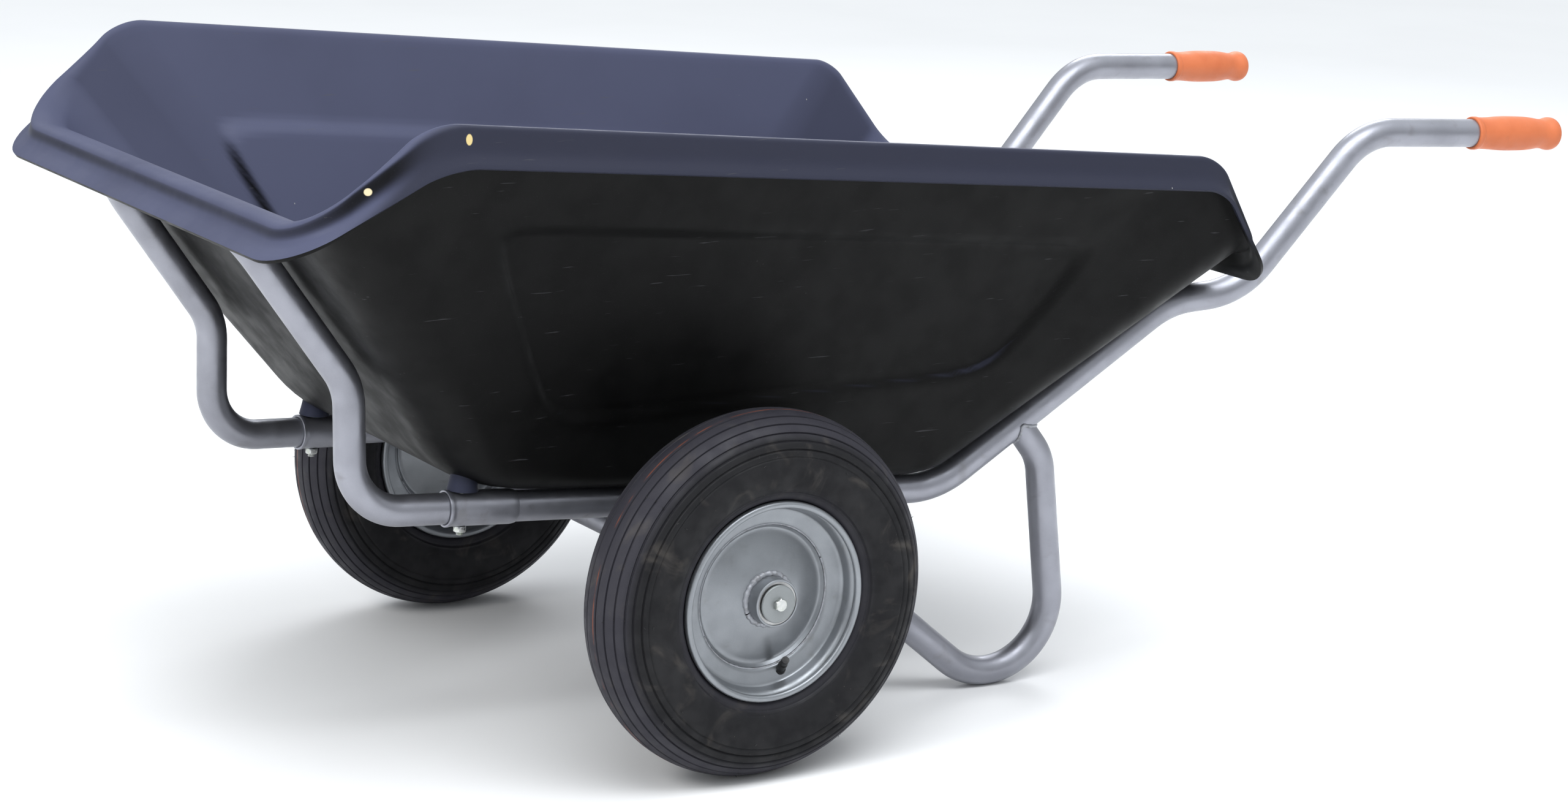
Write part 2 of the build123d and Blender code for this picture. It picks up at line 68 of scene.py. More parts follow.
# ---------------------------------------------------------------- materials
class Shader:
    """A principled material in the part's own coordinates, with helpers for procedural layers."""

    def __init__(self, name, color, roughness, metallic=0.0, specular=0.5):
        self.material = bpy.data.materials.new(name)
        self.material.use_nodes = True
        self.tree = self.material.node_tree
        self.bsdf = self.tree.nodes["Principled BSDF"]
        self.bsdf.inputs["Base Color"].default_value = (*color, 1)
        self.bsdf.inputs["Roughness"].default_value = roughness
        self.bsdf.inputs["Metallic"].default_value = metallic
        self.bsdf.inputs["Specular IOR Level"].default_value = specular
        self.coords = self.tree.nodes.new("ShaderNodeTexCoord").outputs["Object"]
        self.color = None
        self.normal = None

    def node(self, kind, **settings):
        made = self.tree.nodes.new(kind)
        for key, value in settings.items():
            setattr(made, key, value)
        return made

    def join(self, source, target):
        self.tree.links.new(source, target)

    def stretched(self, scale):
        """The coordinates scaled by a different amount along each axis."""
        mapping = self.node("ShaderNodeMapping")
        mapping.inputs["Scale"].default_value = scale
        self.join(self.coords, mapping.inputs["Vector"])
        return mapping.outputs["Vector"]

    def noise(self, scale, detail=3.0, vector=None, distortion=0.0):
        made = self.node("ShaderNodeTexNoise")
        made.inputs["Scale"].default_value = scale
        made.inputs["Detail"].default_value = detail
        made.inputs["Distortion"].default_value = distortion
        self.join(vector or self.coords, made.inputs["Vector"])
        return made.outputs["Fac"]

    def cells(self, scale, vector=None):
        """Distance from the nearest random point."""
        made = self.node("ShaderNodeTexVoronoi")
        made.inputs["Scale"].default_value = scale
        self.join(vector or self.coords, made.inputs["Vector"])
        return made.outputs["Distance"]

    def between(self, value, low, high, to_low=0.0, to_high=1.0):
        made = self.node("ShaderNodeMapRange")
        made.interpolation_type = "SMOOTHSTEP"
        for key, number in (("From Min", low), ("From Max", high), ("To Min", to_low), ("To Max", to_high)):
            made.inputs[key].default_value = number
        self.join(value, made.inputs["Value"])
        return made.outputs["Result"]

    def math(self, operation, first, second=None):
        made = self.node("ShaderNodeMath", operation=operation)
        for socket, value in zip(made.inputs, (first, second)):
            if value is None:
                continue
            if isinstance(value, (int, float)):
                socket.default_value = value
            else:
                self.join(value, socket)
        return made.outputs[0]

    def facing_up(self):
        """How far the surface faces upwards."""
        made = self.node("ShaderNodeSeparateXYZ")
        self.join(self.node("ShaderNodeTexCoord").outputs["Normal"], made.inputs[0])
        return made.outputs["Z"]

    def axis(self, name):
        made = self.node("ShaderNodeSeparateXYZ")
        self.join(self.coords, made.inputs[0])
        return made.outputs[name]

    def tint(self, mask, color):
        """Paint a colour over what is there, where the mask is high."""
        mix = self.node("ShaderNodeMix", data_type="RGBA")
        self.join(mask, mix.inputs["Factor"])
        if self.color is None:
            mix.inputs["A"].default_value = self.bsdf.inputs["Base Color"].default_value
        else:
            self.join(self.color, mix.inputs["A"])
        mix.inputs["B"].default_value = (*color, 1)
        self.color = mix.outputs["Result"]
        self.join(self.color, self.bsdf.inputs["Base Color"])

    def bump(self, height, distance, strength=1.0):
        made = self.node("ShaderNodeBump")
        made.inputs["Strength"].default_value = strength
        made.inputs["Distance"].default_value = distance
        self.join(height, made.inputs["Height"])
        if self.normal is not None:
            self.join(self.normal, made.inputs["Normal"])
        self.normal = made.outputs["Normal"]
        self.join(self.normal, self.bsdf.inputs["Normal"])

    def roughness(self, value):
        self.join(value, self.bsdf.inputs["Roughness"])

    def spot(self, centre, radii):
        """One near an ellipsoid's middle and nought outside it, from a centre and radii in metres."""
        shift = self.node("ShaderNodeVectorMath", operation="SUBTRACT")
        self.join(self.coords, shift.inputs[0])
        shift.inputs[1].default_value = centre
        scale = self.node("ShaderNodeVectorMath", operation="DIVIDE")
        self.join(shift.outputs[0], scale.inputs[0])
        scale.inputs[1].default_value = radii
        length = self.node("ShaderNodeVectorMath", operation="LENGTH")
        self.join(scale.outputs[0], length.inputs[0])
        return self.between(length.outputs["Value"], 1.0, 0.8)


# Small cream chips on the near rim, beside the front corner of the side.
CHIP_TOP_X, CHIP_TOP_Z = 370.7, 713.7
CHIP_LOW_X, CHIP_LOW_Z = 472.0, 667.6
CHIP_TOP = place(CHIP_TOP_X, 391.0, CHIP_TOP_Z)
CHIP_LOW = place(CHIP_LOW_X, 384.0, CHIP_LOW_Z)


def tub_plastic():
    shader = Shader("tub_plastic", (0.0012, 0.0012, 0.0012), 0.42, specular=0.12)
    shader.tint(shader.between(shader.noise(5.0, 4.0), 0.35, 0.75), (0.0022, 0.0022, 0.0021))
    # painted sky sheen: surfaces that face upwards are painted a lighter bluish grey
    sky_sheen = shader.between(shader.facing_up(), 0.02, 0.45)
    shader.tint(sky_sheen, (0.062, 0.068, 0.115))
    # patches where the painted sky sheen is a little darker
    patches = shader.between(shader.noise(4.0, 5.0), 0.4, 0.7)
    uneven_sheen = shader.math("MULTIPLY", patches, shader.math("MULTIPLY", sky_sheen, 0.6))
    shader.tint(uneven_sheen, (0.046, 0.05, 0.085))
    # painted sky sheen on the outer face of the side rims as well
    rim_face_sheen = shader.between(across_of(shader), 0.382, 0.391)
    shader.tint(rim_face_sheen, (0.026, 0.028, 0.045))
    grain = shader.noise(900.0, 2.0)
    shader.tint(shader.between(grain, 0.62, 0.8, 0.0, 0.22), (0.05, 0.05, 0.06))
    specks = shader.between(shader.cells(60.0, shader.stretched((1.0, 1.0, 0.6))), 0.05, 0.025)
    where = shader.between(shader.noise(3.2, 2.0), 0.56, 0.66)
    shader.tint(shader.math("MULTIPLY", specks, where), (0.3, 0.3, 0.29))
    streak_coords = shader.stretched((6.0, 40.0, 120.0))
    streaks = shader.between(shader.noise(3.0, 3.0, streak_coords), 0.70, 0.76, 0.0, 0.5)
    shader.tint(streaks, (0.07, 0.07, 0.075))
    shader.tint(shader.spot(CHIP_TOP, (0.0038, 0.012, 0.006)), (0.66, 0.52, 0.24))
    shader.tint(shader.spot(CHIP_LOW, (0.005, 0.012, 0.0045)), (0.72, 0.6, 0.38))
    shader.roughness(shader.between(shader.noise(26.0, 4.0), 0.3, 0.7, 0.42, 0.56))
    shader.bump(shader.noise(1500.0, 2.0), 0.0002, 0.35)
    shader.bump(shader.noise(18.0, 2.0), 0.001, 0.25)
    return shader.material


def silver_paint(name, color, metallic, wear):
    shader = Shader(name, color, 0.4, metallic=metallic)
    dull = tuple(c * 0.82 for c in color)
    shader.tint(shader.between(shader.noise(14.0, 4.0), 0.35, 0.75), dull)
    bright = tuple(min(1, c * 1.35) for c in color)
    shader.tint(shader.between(shader.noise(3000.0, 1.0), 0.55, 0.75, 0.0, 0.4), bright)
    grime = shader.between(shader.noise(38.0, 6.0, distortion=0.4), 0.60, 0.78, 0.0, wear)
    shader.tint(grime, (0.13, 0.12, 0.10))
    nicks = shader.between(shader.cells(46.0), 0.035, 0.015)
    some = shader.between(shader.noise(11.0, 2.0), 0.60, 0.68)
    shader.tint(shader.math("MULTIPLY", nicks, some), (0.09, 0.08, 0.075))
    shader.roughness(shader.between(shader.noise(60.0, 4.0), 0.3, 0.7, 0.33, 0.46))
    shader.bump(shader.noise(420.0, 2.0), 0.0004, 0.16)
    shader.bump(shader.noise(1800.0, 1.0), 0.0001, 0.12)
    shader.bsdf.inputs["Coat Weight"].default_value = 0.12
    shader.bsdf.inputs["Coat Roughness"].default_value = 0.3
    return shader.material


def weld_paint():
    shader = Shader("weld_paint", (0.34, 0.35, 0.38), 0.36, metallic=0.55)
    shader.tint(shader.between(shader.noise(160.0, 4.0), 0.45, 0.7), (0.22, 0.22, 0.23))
    shader.roughness(shader.between(shader.noise(240.0, 3.0), 0.3, 0.7, 0.36, 0.6))
    shader.bump(shader.noise(520.0, 3.0), 0.0008, 0.5)
    return shader.material


WHEEL_Y = 349.0             # middle plane of each tyre
RED_LINE_Y = 4.5            # the red line on the tyre, outwards from its middle plane


def across_of(shader):
    """Distance from the barrow's middle plane, the same on both sides."""
    return shader.math("ABSOLUTE", shader.axis("Y"))


def tyre_rubber():
    shader = Shader("tyre_rubber", (0.0045, 0.0045, 0.0058), 0.5, specular=0.26)
    shader.tint(shader.between(shader.noise(10.0, 5.0), 0.4, 0.75), (0.010, 0.0098, 0.0112))
    tread = shader.math("SUBTRACT", across_of(shader), WHEEL_Y * MM)
    # painted bluish sheen on the tread's crown
    crown = shader.between(shader.math("ABSOLUTE", tread), 0.047, 0.034)
    shader.tint(crown, (0.028, 0.027, 0.035))
    smears = shader.between(shader.noise(22.0, 8.0, distortion=1.2), 0.55, 0.78, 0.0, 0.5)
    shader.tint(smears, (0.075, 0.066, 0.058))
    offset = shader.math("SUBTRACT", across_of(shader), (WHEEL_Y + RED_LINE_Y) * MM)
    line = shader.between(shader.math("ABSOLUTE", offset), 0.0011, 0.0005)
    broken = shader.between(shader.noise(30.0, 3.0), 0.38, 0.55)
    shader.tint(shader.math("MULTIPLY", line, broken), (0.16, 0.05, 0.03))
    specks = shader.between(shader.cells(110.0), 0.07, 0.03, 0.0, 0.4)
    where = shader.between(shader.noise(12.0), 0.52, 0.7)
    shader.tint(shader.math("MULTIPLY", specks, where), (0.16, 0.14, 0.11))
    shader.roughness(shader.between(shader.noise(45.0, 4.0), 0.3, 0.7, 0.5, 0.78))
    shader.bump(shader.noise(700.0, 3.0), 0.0004, 0.3)
    return shader.material


def black_rubber():
    shader = Shader("black_rubber", (0.012, 0.012, 0.013), 0.55, specular=0.45)
    shader.tint(shader.between(shader.noise(120.0, 4.0), 0.5, 0.8), (0.03, 0.03, 0.03))
    shader.roughness(shader.between(shader.noise(90.0, 3.0), 0.3, 0.7, 0.45, 0.68))
    shader.bump(shader.noise(900.0, 2.0), 0.0003, 0.25)
    return shader.material


def grip_plastic():
    shader = Shader("grip_plastic", (0.56, 0.15, 0.055), 0.5, specular=0.4)
    shader.tint(shader.between(shader.noise(28.0, 4.0), 0.4, 0.75), (0.5, 0.125, 0.042))
    grime = shader.between(shader.noise(70.0, 6.0, distortion=0.5), 0.60, 0.78, 0.0, 0.3)
    shader.tint(grime, (0.42, 0.12, 0.05))
    shader.roughness(shader.between(shader.noise(60.0, 3.0), 0.3, 0.7, 0.42, 0.6))
    shader.bump(shader.noise(1100.0, 2.0), 0.0003, 0.35)
    shader.bsdf.inputs["Subsurface Weight"].default_value = 0.08
    shader.bsdf.inputs["Subsurface Radius"].default_value = (0.004, 0.0015, 0.0008)
    return shader.material


def zinc_plate():
    shader = Shader("zinc_plate", (0.56, 0.57, 0.56), 0.32, metallic=1.0)
    shader.tint(shader.between(shader.noise(140.0, 4.0), 0.42, 0.7), (0.47, 0.5, 0.44))
    shader.tint(shader.between(shader.noise(420.0, 3.0), 0.6, 0.8, 0.0, 0.6), (0.3, 0.29, 0.25))
    shader.roughness(shader.between(shader.noise(260.0, 4.0), 0.3, 0.7, 0.24, 0.45))
    shader.bump(shader.noise(1500.0, 2.0), 0.0001, 0.25)
    return shader.material


def turned_steel():
    shader = Shader("turned_steel", (0.42, 0.42, 0.42), 0.34, metallic=1.0)
    rings = shader.noise(1.0, 3.0, shader.stretched((60.0, 2600.0, 60.0)))
    shader.tint(shader.between(rings, 0.4, 0.7), (0.3, 0.3, 0.3))
    shader.roughness(shader.between(rings, 0.3, 0.7, 0.28, 0.42))
    shader.bump(rings, 0.0001, 0.25)
    return shader.material


TUB = tub_plastic()
FRAME_PAINT = silver_paint("frame_paint", (0.31, 0.315, 0.355), 0.8, 0.3)
WHEEL_PAINT = silver_paint("wheel_paint", (0.27, 0.285, 0.305), 0.8, 0.3)
WELD = weld_paint()
TYRE = tyre_rubber()
RUBBER = black_rubber()
GRIP = grip_plastic()
ZINC = zinc_plate()
WASHER_PAINT = silver_paint("washer_paint", (0.24, 0.255, 0.26), 0.5, 0.2)
STEEL = turned_steel()
SLOT_MATERIALS = {
    "tub_plastic": TUB,
    "frame_paint": FRAME_PAINT,
    "wheel_paint": WHEEL_PAINT,
    "tyre_rubber": TYRE,
    "soft_rubber": RUBBER,
    "grip_plastic": GRIP,
    "zinc_plate": ZINC,
    "machined_steel": STEEL,
}
for part in frame["record"]["subparts"]:
    carried = nodes[part["node"]].data
    carried.materials.clear()
    carried.materials.append(SLOT_MATERIALS[part["material_slot"]])


# ---------------------------------------------------------------- mesh helpers
def piece(name, points, faces, material, slot, body="frame", stands_for=(), sharp=35.0):
    """A smooth-shaded mesh in the part's frame that rides on a body."""
    mesh = bpy.data.meshes.new(name)
    mesh.from_pydata([tuple(p) for p in points], [], faces)
    shape = bmesh.new()
    shape.from_mesh(mesh)
    bmesh.ops.remove_doubles(shape, verts=shape.verts, dist=1e-6)
    bmesh.ops.recalc_face_normals(shape, faces=shape.faces)
    shape.to_mesh(mesh)
    shape.free()
    mesh.polygons.foreach_set("use_smooth", [True] * len(mesh.polygons))
    mesh.set_sharp_from_angle(angle=math.radians(sharp))
    mesh.materials.append(material)
    made = bpy.data.objects.new(name, mesh)
    bpy.context.scene.collection.objects.link(made)
    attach(made, body)
    if stands_for:
        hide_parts(*stands_for)
    return made


def skin(rings, looped=False, capped=False):
    """Points and faces over a row of closed rings with equal counts."""
    count = len(rings[0])
    points = [p for ring in rings for p in ring]
    faces = []
    last = len(rings) if looped else len(rings) - 1
    for row in range(last):
        low = row * count
        high = (row + 1) % len(rings) * count
        for i in range(count):
            j = (i + 1) % count
            faces.append((low + i, low + j, high + j, high + i))
    if capped:
        faces.append(tuple(range(count))[::-1])
        faces.append(tuple(range((len(rings) - 1) * count, len(rings) * count)))
    return points, faces


def across(direction):
    """Two unit vectors across a direction."""
    axis = Vector(direction).normalized()
    guide = Vector((0, 0, 1)) if abs(axis.z) < 0.9 else Vector((1, 0, 0))
    first = axis.cross(guide).normalized()
    return axis, first, axis.cross(first)


def ring_of(centre, first, second, radii):
    """A ring of points round a centre, with a radius in metres for each."""
    ring = []
    for k, radius in enumerate(radii):
        turn = 2 * math.pi * k / len(radii)
        ring.append(centre + (first * math.cos(turn) + second * math.sin(turn)) * radius)
    return ring


def revolved(origin, direction, profile, segments=96):
    """Points and faces of a closed profile of (along, radius) in mm turned round an axis."""
    axis, first, second = across(direction)
    rings = []
    for k in range(segments):
        turn = 2 * math.pi * k / segments
        out = first * math.cos(turn) + second * math.sin(turn)
        rings.append([origin + axis * (along * MM) + out * (radius * MM) for along, radius in profile])
    return skin(rings, looped=True)


def softened(profile, steps=4, closed=True):
    """Round a profile's corners. Each corner is (along, radius, reach), with the reach in mm."""
    made = []
    count = len(profile)
    for i, (along, radius, reach) in enumerate(profile):
        here = Vector((along, radius))
        if not closed and i in (0, count - 1) or not reach:
            made.append(tuple(here))
            continue
        before = Vector(profile[i - 1][:2]) - here
        after = Vector(profile[(i + 1) % count][:2]) - here
        start = here + before.normalized() * min(reach, before.length * 0.5)
        end = here + after.normalized() * min(reach, after.length * 0.5)
        for k in range(steps + 1):
            u = k / steps
            made.append(tuple(start * (1 - u) ** 2 + here * 2 * u * (1 - u) + end * u * u))
    return made


def sheet(profile, thickness, steps=5):
    """A closed profile round a pressed sheet's middle line."""
    line = [Vector(p) for p in softened(profile, steps, closed=False)]
    one, other = [], []
    for i, here in enumerate(line):
        ahead = line[min(i + 1, len(line) - 1)] - line[max(i - 1, 0)]
        normal = Vector((-ahead.y, ahead.x)).normalized() * (thickness / 2)
        one.append(tuple(here + normal))
        other.append(tuple(here - normal))
    return one + other[::-1]


def bent_path(points, radii, degrees=4.0):
    """The middle line of a bent tube, in metres: straight runs joined by tangent arcs."""
    runs = [place(*p) for p in points]
    path = [runs[0]]
    for before, here, after, radius in zip(runs, runs[1:], runs[2:], radii):
        back = (before - here).normalized()
        ahead = (after - here).normalized()
        half = back.angle(ahead) / 2
        reach = radius * MM / math.tan(half)
        middle = here + (back + ahead).normalized() * (radius * MM / math.sin(half))
        start = here + back * reach - middle
        turn = math.pi - 2 * half
        axis = start.cross(here + ahead * reach - middle).normalized()
        steps = max(2, round(math.degrees(turn) / degrees))
        for k in range(steps + 1):
            path.append(middle + Matrix.Rotation(turn * k / steps, 3, axis) @ start)
    path.append(runs[-1])
    return path


def swept(path, radius, sides=44):
    """Points and faces of a round tube along a path, closed at both ends."""
    _, first, _ = across(path[1] - path[0])
    rings = []
    for i, here in enumerate(path):
        ahead = (path[min(i + 1, len(path) - 1)] - path[max(i - 1, 0)]).normalized()
        first = (first - ahead * first.dot(ahead)).normalized()
        second = ahead.cross(first)
        rings.append(ring_of(here, first, second, [radius * MM] * sides))
    return skin(rings, capped=True)


def mirrored(points, side):
    """A list of left-hand points, or its mirror image."""
    return [(x, y * side, z) for x, y, z in points]


BEAD_SIDES = 10
BEAD_WOBBLE = 0.22          # slow changes of a bead's thickness, as a share of its radius
BEAD_RIPPLE = 0.12          # the ripples of its passes


def bead(path, radius, seed):
    """Points and faces of a weld bead round a closed path."""
    rings = []
    for i, here in enumerate(path):
        _, first, second = across(path[(i + 1) % len(path)] - path[i - 1])
        wobble = noise.noise(here * 160 + Vector((seed, 0, 0)))
        ripple = BEAD_RIPPLE * math.sin(i * 1.3)
        size = radius * MM * (1 + BEAD_WOBBLE * wobble + ripple)
        rings.append(ring_of(here, first, second, [size] * BEAD_SIDES))
    return skin(rings, looped=True)


# ---------------------------------------------------------------- tub
FLOOR_SLOPE = 0.0687
FLOOR_TOP = 287.6           # inside of the floor above the axle line
SHEET_WALL = 4.0


def floor_z(x):
    return FLOOR_TOP + FLOOR_SLOPE * x


# Places along the side of the floor, between its front and rear corners.
SIDE_AHEAD_X = 120.0
SIDE_BEHIND_X = -190.0


def floor_line(front, rear, front_half, rear_half, turn):
    """Control points of a level on the floor: nose, front corner, two side places, rear corner, tail."""

    def half(x):
        return rear_half + (front_half - rear_half) * (x - rear) / (front - rear)

    return np.array(
        [
            (front, 0, floor_z(front), turn[0]),
            (front, front_half, floor_z(front), turn[0]),
            (SIDE_AHEAD_X, half(SIDE_AHEAD_X), floor_z(SIDE_AHEAD_X), turn[1]),
            (SIDE_BEHIND_X, half(SIDE_BEHIND_X), floor_z(SIDE_BEHIND_X), turn[1]),
            (rear, rear_half, floor_z(rear), turn[2]),
            (rear, 0, floor_z(rear), turn[2]),
        ],
        float,
    )


# How far the rounding between the floor and each wall reaches: front, sides, rear.
TURNS = (58.0, 20.0, 31.0)
FLOOR_FRONT_X, FLOOR_REAR_X = 268.0, -326.0
FLOOR_FRONT_HALF, FLOOR_REAR_HALF = 206.0, 230.0
FLOOR_EDGE = floor_line(FLOOR_FRONT_X, FLOOR_REAR_X, FLOOR_FRONT_HALF, FLOOR_REAR_HALF, TURNS)
FLOOR_FLAT = floor_line(
    FLOOR_FRONT_X - TURNS[0],
    FLOOR_REAR_X + TURNS[2],
    FLOOR_FRONT_HALF - TURNS[1],
    FLOOR_REAR_HALF - TURNS[1],
    TURNS,
)
# The rolled rim's ridge and its lower edge, at the same six places.
RIDGE = np.array(
    [
        (527, 0, 630),
        (527, 362, 630),
        (407, 386, 731),
        (-565, 386, 637),
        (-650, 364, 516),
        (-650, 0, 516),
    ],
    float,
)
SKIRT = np.array(
    [
        (559, 0, 597),
        (559, 374, 597),
        (391, 399.5, 689),
        (-577, 399.5, 600),
        (-671, 374, 481),
        (-671, 0, 481),
    ],
    float,
)
STRAIGHT_COUNTS = (44, 26, 120, 22, 36)
CORNER_COUNT = 14
ARC_GRIP = 0.55             # handle length that makes a cubic follow a circular arc


def outline(control, reaches):
    """A closed level from its control points, with the four corners between nose and tail rounded."""
    half = []
    starts, ends = [control[0]], []
    arcs = []
    for i, reach in enumerate(reaches, start=1):
        back = control[i - 1] - control[i]
        ahead = control[i + 1] - control[i]
        begin = control[i] + back * (reach / np.linalg.norm(back[:3]))
        end = control[i] + ahead * (reach / np.linalg.norm(ahead[:3]))
        ends.append(begin)
        starts.append(end)
        u = np.linspace(0, 1, CORNER_COUNT)[:, None]
        h0 = begin + (control[i] - begin) * ARC_GRIP
        h1 = end + (control[i] - end) * ARC_GRIP
        arcs.append(
            begin * (1 - u) ** 3 + h0 * 3 * u * (1 - u) ** 2 + h1 * 3 * u**2 * (1 - u) + end * u**3
        )
    ends.append(control[-1])
    for k, count in enumerate(STRAIGHT_COUNTS):
        u = np.linspace(0, 1, count + 1)[:, None]
        run = starts[k] * (1 - u) + ends[k] * u
        half.append(run[:-1] if k < len(arcs) else run)
        if k < len(arcs):
            half.append(arcs[k][:-1])
    left = np.vstack(half)
    right = left[1:-1][::-1].copy()
    right[:, 1] *= -1
    return np.vstack([left, right])


def unit(rows):
    return rows / np.linalg.norm(rows, axis=1, keepdims=True)


def curve(start, corner, end, steps):
    """Levels from start round a corner to end, without the first one."""
    us = [(k + 1) / steps for k in range(steps)]
    return [start * (1 - u) ** 2 + corner * 2 * u * (1 - u) + end * u * u for u in us]


def line(start, end, steps):
    return [start + (end - start) * ((k + 1) / steps) for k in range(steps)]


# The pressed panel in each side wall: corners (x, z) in order, seen with the nose on the right.
PANEL = [(316.0, 614.0), (-443.0, 540.0), (-348.0, 391.0), (196.0, 381.0)]
PANEL_DEPTH = 7.0           # how far it stands into the tub
PANEL_BLEND = 11.0
PANEL_ROUND = 16.0
PANEL_MIN_Y = 150.0         # only the side walls have one
WALL_INWARD = (0.0, -0.918, 0.397)


def panel_share(x, z):
    """One inside the panel, nought outside, with rounded corners."""
    edges = []
    for (x0, z0), (x1, z1) in zip(PANEL, PANEL[1:] + PANEL[:1]):
        length = math.hypot(x1 - x0, z1 - z0)
        edges.append(((x - x0) * (z1 - z0) - (z - z0) * (x1 - x0)) / length)
    away = PANEL_ROUND * np.log(np.exp(np.array(edges) / PANEL_ROUND).sum(axis=0))
    share = np.clip(0.5 - away / PANEL_BLEND, 0, 1)
    return share * share * (3 - 2 * share)


# The front wall stands a little back from the lip, clear of the bow in front of it.
NOSE_FLARE = 10.0
NOSE_FLARE_X = 430.0
NOSE_FLARE_LENGTH = 70.0
# Corners of the rim's section, as shares of the step from the ridge to the lower edge: out and down.
RIM_INNER = (-0.30, -0.03)
RIM_OUTER = (0.34, 0.02)
RIM_HOLLOW = (0.46, 0.62)
RIM_WALL_BEND = 9.0
RIM_OUTER_BEND = 5.5
RIM_HOLLOW_BEND = (8.0, 7.0)
FLOOR_MIDDLE_X = -29.0
FLOOR_SHARES = (0.03, 0.2, 0.4, 0.6, 0.8, 1.0)
WALL_LEVELS = 58


def tub_levels():
    """Levels of the tub's inner and upper surface, from the middle of the floor to the rim's lower edge."""
    edge = outline(FLOOR_EDGE, (50.0, 30.0, 30.0, 46.0))
    flat = outline(FLOOR_FLAT, (46.0, 30.0, 30.0, 42.0))
    reach = edge[:, 3:4]
    edge, flat = edge[:, :3], flat[:, :3]
    ridge = outline(RIDGE, (62.0, 30.0, 24.0, 44.0))
    skirt = outline(SKIRT, (66.0, 34.0, 26.0, 48.0))
    out = skirt - ridge
    sideways = out * (1, 1, 0)
    drop = out * (0, 0, 1)
    inner, outer, hollow = (
        ridge + sideways * share_out + drop * share_down
        for share_out, share_down in (RIM_INNER, RIM_OUTER, RIM_HOLLOW)
    )
    nose = np.clip((inner[:, :1] - NOSE_FLARE_X) / NOSE_FLARE_LENGTH, 0.0, 1.0)
    wall_top = inner - nose * (NOSE_FLARE, 0, 0)
    rise = unit(wall_top - edge)
    middle = np.array([FLOOR_MIDDLE_X, 0.0, floor_z(FLOOR_MIDDLE_X)])
    levels = [middle + (flat - middle) * s for s in FLOOR_SHARES]
    foot = edge + rise * reach
    levels += curve(flat, edge, foot, 9)
    shoulder = wall_top - rise * RIM_WALL_BEND
    levels += line(foot, shoulder, WALL_LEVELS)
    land = unit(outer - inner)
    length = np.linalg.norm(outer - inner, axis=1, keepdims=True)
    after_inner = inner + land * length * 0.45
    levels += curve(shoulder, inner, after_inner, 6)
    before_outer = outer - land * length * 0.4
    face = unit(hollow - outer)
    after_outer = outer + face * RIM_OUTER_BEND
    levels += line(after_inner, before_outer, 1)
    levels += curve(before_outer, outer, after_outer, 6)
    before_hollow = hollow - face * RIM_HOLLOW_BEND[0]
    after_hollow = hollow + unit(skirt - hollow) * RIM_HOLLOW_BEND[1]
    levels += line(after_outer, before_hollow, 3)
    levels += curve(before_hollow, hollow, after_hollow, 5)
    levels += line(after_hollow, skirt, 2)
    return levels


def build_tub():
    levels = np.array(tub_levels())
    x, y, z = levels[..., 0], levels[..., 1], levels[..., 2]
    share = panel_share(x, z) * (np.abs(y) > PANEL_MIN_Y)
    inward = np.stack([x * 0, WALL_INWARD[1] * np.sign(y), x * 0 + WALL_INWARD[2]], axis=-1)
    levels = levels + inward * (share * PANEL_DEPTH)[..., None]
    rings = [[place(*p) for p in level] for level in levels]
    points, faces = skin(rings)
    faces.append(tuple(range(len(rings[0])))[::-1])
    tub = piece("tub_body", points, faces, TUB, "tub_plastic", stands_for=["tub"], sharp=60.0)
    # recalculated normals of an open shell may point either way: the inner side has to be the upper one
    middle = tub.data.polygons[len(tub.data.polygons) - 1]
    if middle.normal.z < 0:
        tub.data.flip_normals()
    thick = tub.modifiers.new("thick", "SOLIDIFY")
    thick.thickness = SHEET_WALL * MM
    thick.offset = -1.0
    edge = tub.modifiers.new("edge", "BEVEL")
    edge.width = 1.4 * MM
    edge.segments = 3
    edge.limit_method = "ANGLE"
    edge.angle_limit = math.radians(60)


build_tub()

# ---------------------------------------------------------------- frame tubes
TUBE_R = 16.85
RAIL_Z = 263.9
SLEEVE_FRONT_X = 282.6
SLEEVE_REAR_X = 202.0
SLEEVE_HALF_Y = 179.4
RAIL_SPLAY = 0.04


def run_point(x, rise=0.0):
    """A point on the rail's bottom run."""
    return (x, SLEEVE_HALF_Y + RAIL_SPLAY * (SLEEVE_FRONT_X - x), RAIL_Z + FLOOR_SLOPE * x + rise)


RAIL_POINTS = [
    run_point(240.0),
    run_point(-332.5),
    (-618.7, 251.8, 442.8),
    (-710.9, 267.5, 450.2),
    (-878.9, 278.9, 629.0),
    (-1166.2, 294.4, 612.8),
]
RAIL_RADII = (100.0, 110.0, 110.0, 90.0)
BOW_SIDE = [run_point(243.0), run_point(388.5), (389.2, 171.0, 424.5), (516.0, 165.5, 604.2)]
BOW_RADII = (60.0, 70.0, 55.0)
LEG_POINTS = [(-103.0, 194.8, 247.4), (-512.4, 227.2, -96.2), (-465.2, 223.4, 268.0), (-431.0, 220.7, 312.0)]
LEG_RADII = (80.0, 60.0)

for name, side in SIDES:
    rail = bent_path(mirrored(RAIL_POINTS, side), RAIL_RADII)
    piece(f"rail_tube_{name}", *swept(rail, TUBE_R), FRAME_PAINT, "frame_paint", stands_for=[f"rail_{name}"])
    leg = bent_path(mirrored(LEG_POINTS, side), LEG_RADII)
    piece(f"leg_tube_{name}", *swept(leg, TUBE_R), FRAME_PAINT, "frame_paint", stands_for=[f"leg_{name}"])

bow_points = BOW_SIDE + mirrored(BOW_SIDE, -1)[::-1]
bow = bent_path(bow_points, BOW_RADII + BOW_RADII[::-1])
piece("bow_tube", *swept(bow, TUBE_R), FRAME_PAINT, "frame_paint", stands_for=["front_bow"])

